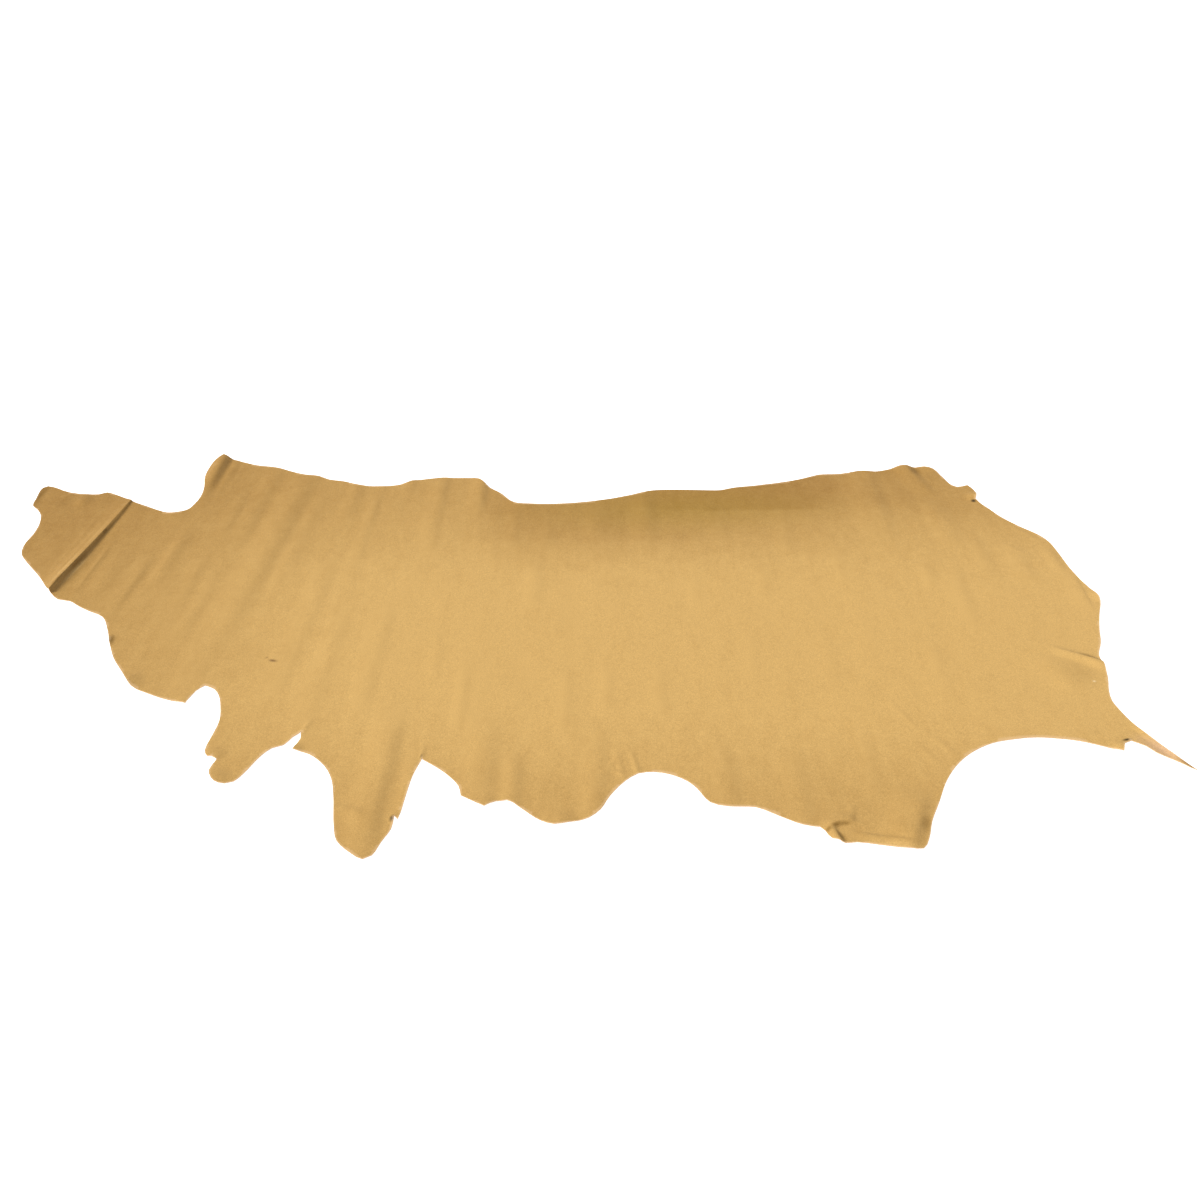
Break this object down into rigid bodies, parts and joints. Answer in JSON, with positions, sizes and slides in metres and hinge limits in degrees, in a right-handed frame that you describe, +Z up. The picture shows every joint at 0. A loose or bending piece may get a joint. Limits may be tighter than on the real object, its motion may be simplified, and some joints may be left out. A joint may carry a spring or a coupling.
{
  "type": "leather side",
  "caption": "Half of a tanned hide with its natural outline, laid flat, grain side up, with soft ripples and one neck crease.",
  "frame": {"origin": "middle of the outline's box, on the surface that the leather rests on", "axes": "+X from the neck to the butt, +Y from the belly to the back line, +Z up out of the grain side"},
  "size_m": [2.2918, 1.324, 0.0142],
  "materials": {
    "grain_leather": "satin gold and tan grain"
  },
  "bodies": {
    "root": {"leather_side": "grain_leather"}
  },
  "joints": []
}
